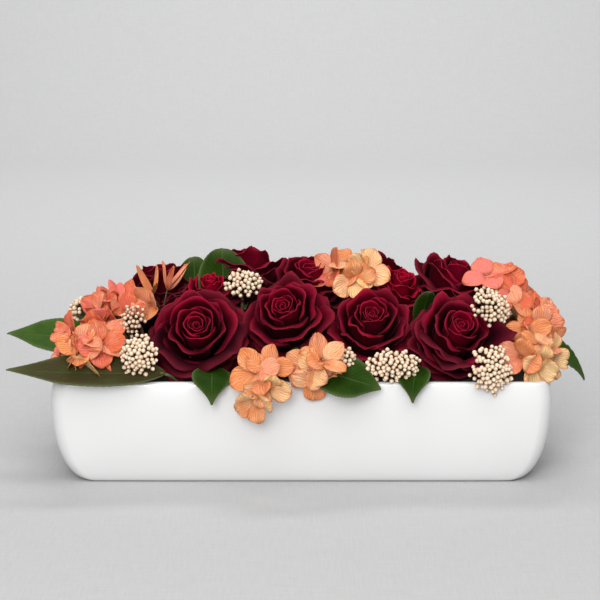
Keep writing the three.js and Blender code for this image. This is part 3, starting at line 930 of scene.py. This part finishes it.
# %% Cover the heads with florets
HEADS = {
    # tone, how far florets stray from it, tone gained to the right and upwards, how full, floret patterns
    "left_low": (0.44, 0.28, -0.1, -0.3, 1.0, (0, 1, 2, 4, 6, 7)),
    "left_middle": (0.24, 0.24, 0.1, 0.0, 1.1, (0, 2, 4, 5, 6)),
    "left_top": (0.45, 0.2, 0.0, 0.0, 0.5, (7, 7, 6)),
    "front_left": (0.5, 0.2, 0.0, -0.1, 0.42, (0, 1, 3, 4)),
    "front_right": (0.62, 0.16, -0.12, 0.1, 0.55, (0, 1, 2, 3)),
    "top": (0.54, 0.14, 0.5, 0.0, 0.8, (0, 2, 3, 4)),
    "right_top": (0.1, 0.2, 0.05, -0.1, 0.9, (0, 1, 2, 3)),
    "right_middle": (0.32, 0.2, -0.05, 0.0, 0.9, (0, 1, 3, 5)),
    "right_low": (0.66, 0.2, 0.16, -0.1, 0.9, (0, 1, 2, 4)),
    "back_left": (0.35, 0.2, 0.0, 0.0, 0.75, (0, 1, 2, 3, 5)),
    "back_right": (0.5, 0.2, 0.0, 0.0, 0.75, (0, 1, 2, 3, 5)),
}
GOLDEN_ANGLE = 2.39996
FLORET_AREA = 46  # square mm of a head's quarter for each floret
CLOSED_DEEPER = 7  # mm that a closed floret sits further in
TONE_REACH = 15  # mm that change the tone by a head's gain
MOST_LEAN = 0.4


def margin_of(name):
    """How far in mm the florets' middles stay inside the head's edge."""
    return 9 if "front" in name else 4 if "right" in name else 6


def on_dome(head, across, up):
    """A spot on the dome at shares of its half sizes, and which way the dome faces there."""
    inside = max(0.0, 1 - across**2 - up**2)
    local = np.array([across, up, 2 * math.sqrt(inside) - 1])
    spot = head.middle + (local * head.half) @ head.axes
    facing = np.array([across, up, math.sqrt(inside) + 0.25]) @ head.axes
    return spot, facing / np.linalg.norm(facing)


for number, name in enumerate(names_of["hydrangea"]):
    head = heads[name]
    outward = head.axes[2]
    rng = random.Random(300 + number)
    draw = rng.uniform
    middle_tone, stray, rightwards, upwards, full, shapes = HEADS[name.removeprefix("hydrangea_")]
    half = head.half
    count = round(full * half[0] * half[1] / FLORET_AREA)
    room = np.maximum(half[:2] - margin_of(name), 3) / half[:2]
    forward = np.array([0, 0.4 if "back" in name else -0.4, 0])
    florets, ways = [], []
    joint = head.middle - outward * half[2] * 1.1
    start = draw(0, ANY_TURN)
    for k in range(count):
        share = math.sqrt((k + 0.4) / count)
        around = start + k * GOLDEN_ANGLE + draw(-0.25, 0.25)
        spot, facing = on_dome(head, share * room[0] * math.cos(around), share * room[1] * math.sin(around))
        fan = share * (math.cos(around) * head.axes[0] + math.sin(around) * head.axes[1])
        facing = facing + 0.75 * fan + forward
        spot = spot + outward * draw(-5, -1)
        tilt = np.array([draw(-0.4, 0.4) for _ in range(3)])
        facing = (facing + tilt) / np.linalg.norm(facing + tilt)
        shape = rng.choice(shapes)
        if shape >= CLOSED:
            spot = spot - outward * CLOSED_DEEPER
        floret = copy_at(floret_patterns[shape], put_at(spot, facing, draw(0, ANY_TURN)))
        layer = floret.data.attributes["tone"]
        tones = np.empty(len(layer.data), dtype=np.float32)
        layer.data.foreach_get("value", tones)
        away = (spot - head.middle) / TONE_REACH
        lean = np.clip(rightwards * away[0] + upwards * away[2], -MOST_LEAN, MOST_LEAN)
        mark(floret, "tone", tones + middle_tone + lean + draw(-stray, stray))
        florets.append(floret)
        ways.append([joint, (joint + spot) / 2 - facing * 1.5, spot])
    stalks = twigs(ways, FLORET_STALK_RADIUS)
    green = join([stalks, head_stem(name, head, joint + outward * 2)], "green")
    green.data.materials.append(stem_green)
    sprig = join(florets + [green], name + "_florets")
    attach(sprig, "root")
    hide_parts(name)
    print(name, count, "florets,", len(sprig.data.polygons), "faces")
discard(*floret_patterns)

# %% [markdown]
# ## Rice flower
#
# A rice flower head is a loose dome of pearls: cream buds three millimetres across, each a little pointed
# where its bracts meet, on twigs that branch from one stem. One bud is modelled with few faces, because
# hundreds are copied.

# %% Build one bud
BUD_RADIUS = 1.5
clear_selection()
bpy.ops.mesh.primitive_uv_sphere_add(segments=9, ring_count=7, radius=BUD_RADIUS * MM)
bud_pattern = bpy.context.object
edit_only(bud_pattern.data, "vertices", lambda point: point.co.z > 1.45 * MM)
bpy.ops.transform.translate(value=(0, 0, 0.45 * MM))
edit_only(bud_pattern.data, "vertices", lambda point: point.co.z < -0.5 * MM)
bpy.ops.transform.resize(value=(0.75, 0.75, 1.0), center_override=(0, 0, 0))
mode("OBJECT")
bpy.ops.object.shade_smooth()
heights = np.array([point.co.z for point in bud_pattern.data.vertices]) / MM
mark_all(bud_pattern, rim=0.0, climb=(heights + BUD_RADIUS) / 3.4, tone=0.5)
print("bud:", len(bud_pattern.data.polygons), "faces")

# %% Make the buds' finish
finish = Finish("cream_buds", {"Roughness": 0.65})
papery = finish.noise(800.0, 4.0)
body = finish.ramp(
    finish.weighted(papery, 0.4, finish.number("tone")),
    (0.2, (0.56, 0.32, 0.24)),
    (0.5, (0.76, 0.55, 0.38)),
    (0.85, (0.89, 0.72, 0.52)),
)
# painted shade: the lower sides of each bud are painted brown, for the dark gaps between the packed buds
base = finish.rescaled(finish.number("climb"), 0.9, 0.28, 0.95)
colour = finish.mixed(base, body, (0.22, 0.10, 0.05))
bud_finish = finish.done(colour, finish.bump(papery, 0.5, 0.0003))
bud_pattern.data.materials.append(bud_finish)

finish = Finish("twig_brown", {"Roughness": 0.8})
bark = finish.ramp(finish.noise(500.0, 3.0), (0.3, (0.07, 0.03, 0.015)), (0.75, (0.2, 0.11, 0.05)))
twig_brown = finish.done(bark)
print("buds finished")

# %% Scatter the buds over each head
BUDS_PER_AREA = 0.39  # for each square mm of a head's quarter
CREAM_TONE = 0.62
PINKISH_TONE = 0.3
PINKISH = ("rice_flower_left_upper", "rice_flower_front_middle")
SMALLER = ("rice_flower_left_upper",)
for number, name in enumerate(names_of["rice_flower"]):
    head = heads[name]
    outward = head.axes[2]
    draw = random.Random(500 + number).uniform
    joint = head.middle - outward * head.half[2] * 1.2
    count = round(head.half[0] * head.half[1] * BUDS_PER_AREA)
    middle_tone = PINKISH_TONE if name in PINKISH else CREAM_TONE
    buds, ways = [], []
    for k in range(count):
        share = 0.97 * math.sqrt((k + 0.5) / count)
        around = k * GOLDEN_ANGLE + draw(-0.12, 0.12)
        # five shallow lobes, so that the head isn't round
        lobes = 1 - 0.12 * (0.5 + 0.5 * math.sin(5 * around + number)) * share**2
        spot, facing = on_dome(head, share * lobes * math.cos(around), share * lobes * math.sin(around))
        spot = spot + facing * draw(-1.8, 0.4)
        size = draw(0.85, 1.12) * (0.85 if name in SMALLER else 1)
        bud = copy_at(bud_pattern, put_at(spot, facing, draw(0, ANY_TURN)) @ Matrix.Scale(size, 4))
        mark(bud, "tone", middle_tone + draw(-0.22, 0.22))
        buds.append(bud)
        fork = joint + (spot - joint) * 0.45 + outward * 0.8
        ways.append([joint, fork, spot - facing * 1.2])
    brown = twigs(ways, TWIG_RADIUS)
    brown.data.materials.append(twig_brown)
    main = head_stem(name, head, joint)
    main.data.materials.append(twig_brown)
    sprig = join(buds + [brown, main], name + "_buds")
    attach(sprig, "root")
    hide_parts(name)
    print(name, count, "buds,", len(sprig.data.polygons), "faces")
discard(bud_pattern)

# %% [markdown]
# ## Leaves
#
# A leaf is a blade folded a little along its midrib, with a pointed tip, on a stalk; the toothed one droops
# towards its tip. The solid gives the midrib's line, found by dropping rays on it, and its width. A fine grid
# follows that line with a real leaf's outline, and side veins are pressed into it.

# %% Measure a blade
ABOVE_BLADE = 40  # mm that the rays start over it
SAMPLES = 15
BLADE_END = 0.4  # mm from the first and last ray to the ends


def blade_of(name):
    """A blade's directions and sizes, and its midrib's height as a curve along it."""
    centre, directions, corners, tree = spread(name, *BLADE_THICKNESS)
    along, _, normal = directions
    if normal[2] < 0:
        normal = -normal
    foot = foot_of(name)
    reach = (corners - centre) @ along
    far, near = (centre + along * end - foot for end in (reach.max(), reach.min()))
    if np.linalg.norm(far) < np.linalg.norm(near):
        along = -along
        reach = -reach
    across = np.cross(normal, along)
    low, high = reach.min(), reach.max()
    lifts, used = [], []
    for step in np.linspace(low + BLADE_END, high - BLADE_END, SAMPLES):
        start = Vector(centre + along * step + normal * ABOVE_BLADE)
        spot = tree.ray_cast(start, Vector(-normal))[0]
        if spot is not None:
            lifts.append((np.array(spot) - centre) @ normal)
            used.append(step)
    lift = np.polynomial.Polynomial.fit(used, lifts, 4)
    half = np.abs((corners - centre) @ across).max()
    directions = {"along": along, "across": across, "normal": normal}
    return SimpleNamespace(centre=centre, low=low, high=high, lift=lift, half=half, foot=foot, **directions)


blades = {name: blade_of(name) for name in names_of["leaf"]}
for name, blade in blades.items():
    print(name, "length", round(blade.high - blade.low, 1), "half width", round(blade.half, 1))

# %% Make the leaf finish
finish = Finish("leaf_green", {"Roughness": 0.4, "Specular IOR Level": 0.03})
across, up = finish.split_map()
apart = finish.math("ABSOLUTE", finish.math("SUBTRACT", across, 0.5))
slanted = finish.weighted(apart, -4.4, finish.math("MULTIPLY", up, 8.0))
wavy = finish.weighted(finish.noise(4.0, 2.0, finish.flat_map), 0.5, slanted)
turned = finish.math("MULTIPLY", wavy, 6.2832)
side_veins = finish.math("ABSOLUTE", finish.math("COSINE", turned))
midrib = finish.rescaled(apart, 0.022, 0.008)
lines = finish.weighted(finish.rescaled(side_veins, 0.93, 1.0), 0.35, midrib)
body = finish.ramp(
    finish.weighted(finish.noise(90.0, 5.0), 0.45, finish.number("tone")),
    (0.2, (0.010, 0.030, 0.001)),
    (0.6, (0.036, 0.082, 0.010)),
    (1.0, (0.040, 0.034, 0.013)),
)
pale = finish.math("MULTIPLY", lines, 0.3, use_clamp=True)
veined = finish.mixed(pale, body, (0.09, 0.14, 0.045))
edged = finish.mixed(finish.math("MULTIPLY", finish.number("rim"), 0.5), veined, (0.16, 0.2, 0.08))
ridged = finish.bump(lines, 0.35, 0.0004)
leaf_finish = finish.done(edged, finish.bump(finish.cells(900.0), 0.15, 0.0003, on=ridged))
print("leaf finish ready")

# %% Grow the leaves
LEAF_THICKNESS = 0.5
ROUNDED = ("leaf_top_left", "leaf_top_right", "leaf_left_round", "leaf_middle")
HANGING = ("leaf_front_left", "leaf_front_right")
TOOTHED = ("leaf_right",)
NARROWED = {"leaf_right": 0.62, "leaf_middle": 0.7, "leaf_front_left": 0.82, "leaf_front_right": 0.82}
LEAF_TONES = {"leaf_left_lower": 0.8, "leaf_right": 0.3, "leaf_left_upper": 0.32, "leaf_left_round": 0.3}


def leaf_points(u, v, blade, habit):
    step = blade.low + (blade.high - blade.low) * v
    slope = blade.lift.deriv()(step)
    tangent = blade.along + slope[:, None] * blade.normal
    tangent /= np.linalg.norm(tangent, axis=1)[:, None]
    up = np.cross(tangent, blade.across)
    up *= np.sign(up @ blade.normal)[:, None]
    outline = np.sin(np.pi * np.clip(v, 0, 1) ** habit.belly) ** habit.blunt
    outline = outline * (1 - 0.4 * (habit.blunt > 0.7) * np.clip((v - 0.7) / 0.3, 0, 1))
    teeth = 1 + habit.teeth * np.abs(np.sin(habit.toothcount * np.pi * v)) * np.abs(u) ** 6
    half = (blade.half * habit.narrow * outline * teeth + 0.35) * (0.985 + 0.015 * np.cos(9 * v))
    fold = habit.fold * half * np.abs(u) ** 1.4
    veins = 0.16 * np.cos(2 * np.pi * (8.0 * v - 2.2 * np.abs(u))) * np.abs(u) * (1 - np.abs(u)) * 4
    wave = habit.wave * np.sin(5.2 * v + habit.phase + 1.3 * np.sign(u)) * np.abs(u) ** 2
    rib = -0.35 * np.exp(-((u * half / 0.6) ** 2))
    height = blade.lift(step) - habit.droop * v**3
    base = blade.centre + step[:, None] * blade.along + height[:, None] * blade.normal
    side = (u * half)[:, None] * blade.across
    return base + side + (fold + veins * 0.5 + wave + rib)[:, None] * up


for number, name in enumerate(names_of["leaf"]):
    blade = blades[name]
    draw = random.Random(700 + number).uniform
    toothed, hanging, rounded = name in TOOTHED, name in HANGING, name in ROUNDED
    habit = SimpleNamespace(
        belly=0.95 if rounded else 1.15 if hanging else 0.82,
        blunt=0.5 if rounded else 1.1 if hanging else 0.8,
        narrow=NARROWED.get(name, 1.0),
        droop=15.0 if toothed else 0.0,
        teeth=0.16 if toothed else 0.03,
        toothcount=13 if toothed else 22,
        fold=draw(0.1, 0.2),
        wave=draw(0.3, 0.9),
        phase=draw(0, ANY_TURN),
    )
    sheet = bent_sheet(lambda u, v: leaf_points(u, v, blade, habit), 24, 60)
    thicken(sheet, LEAF_THICKNESS)
    face_outwards()
    bpy.ops.object.shade_smooth()
    mark(sheet, "tone", LEAF_TONES.get(name, 0.02))
    sheet.data.materials.append(leaf_finish)
    first = leaf_points(np.array([0.0]), np.array([0.03]), blade, habit)[0]
    stalk = stem(blade.foot, first, blade.along, STALK_RADIUS, 8)
    stalk.data.materials.append(stem_green)
    leaf = join([sheet, stalk], name + "_blade")
    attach(leaf, "root")
    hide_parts(name)
    print(name, len(leaf.data.polygons), "faces")

# %% [markdown]
# ## The studio
#
# A pale sweep of paper is floor and background in one, so no line shows behind the trough. One very large
# soft light hangs over the front, a smaller one fills the shadows from near the camera, and a third lights
# the paper behind. The pale surroundings do the rest.

# %% Set the sweep
CURVE_STEP = 0.1  # metres of paper for each bend of five degrees
clear_selection()
bpy.ops.mesh.primitive_plane_add(size=8, location=(0, -2.6, 0))
sweep = bpy.context.object
points = sweep.data.vertices
back_edge = max(point.co.y for point in points)
edit_only(sweep.data, "edges", lambda edge: all(points[i].co.y > back_edge - 0.01 for i in edge.vertices))
for angle in range(5, 90, 5):
    turned = math.radians(angle)
    step = (0, CURVE_STEP * math.cos(turned), CURVE_STEP * math.sin(turned))
    bpy.ops.mesh.extrude_region_move(TRANSFORM_OT_translate={"value": step})
bpy.ops.mesh.extrude_region_move(TRANSFORM_OT_translate={"value": (0, 0, 3.0)})
mode("OBJECT")
bpy.ops.object.transform_apply(location=True)
bpy.ops.object.shade_smooth()
sweep.name = "sweep"

finish = Finish("pale_sweep", {"Roughness": 0.9})
weft = finish.noise(2.0, 2.0, finish.stretched(finish.place, (26.0, 420.0, 420.0)))
warp = finish.noise(2.0, 2.0, finish.stretched(finish.place, (420.0, 26.0, 26.0)))
fibres = finish.math("MULTIPLY", finish.math("ADD", weft, warp), 0.5)
grey = finish.ramp(fibres, (0.3, (0.425, 0.425, 0.429)), (0.7, (0.478, 0.478, 0.48)))
sweep.data.materials.append(finish.done(grey))
print("sweep set")

# %% Set the lights and the camera
scene = bpy.context.scene
scene.view_settings.view_transform = "Standard"
LIGHTS = [
    # name, place, what it aims at, size in metres, watts
    ("key", (0.04, -0.8, 1.3), (0, 0, 0.06), 1.6, 15.4),
    ("fill", (-0.25, -1.6, 0.75), (0, 0, 0.08), 0.8, 19),
    ("backdrop light", (0, 0.9, 1.7), (0, 2.2, 0.4), 1.4, 35),
]
for name, spot, aim, size, watts in LIGHTS:
    bpy.ops.object.light_add(type="AREA", location=spot)
    lamp = bpy.context.object
    lamp.name = name
    lamp.data.shape = "DISK"
    lamp.data.size = size
    lamp.data.energy = watts
    lamp.rotation_euler = (Vector(aim) - Vector(spot)).to_track_quat("-Z", "Y").to_euler()
world = bpy.data.worlds.new("studio")
scene.world = world
world.use_nodes = True
background = world.node_tree.nodes["Background"].inputs
background["Color"].default_value = (1, 1, 1, 1)
background["Strength"].default_value = 0.34

ELEVATION = math.radians(12)
DISTANCE = 1.15
LENS = 112.72
target = Vector((-0.0008, -0.045, 0.1147))
bpy.ops.object.camera_add()
camera = bpy.context.object
back = Vector((0, -math.cos(ELEVATION), math.sin(ELEVATION)))
camera.location = target + back * DISTANCE
camera.rotation_euler = (-back).to_track_quat("-Z", "Y").to_euler()
camera.data.lens = LENS
camera.data.sensor_width = 36
scene.camera = camera
print("camera at", [round(v, 3) for v in camera.location])
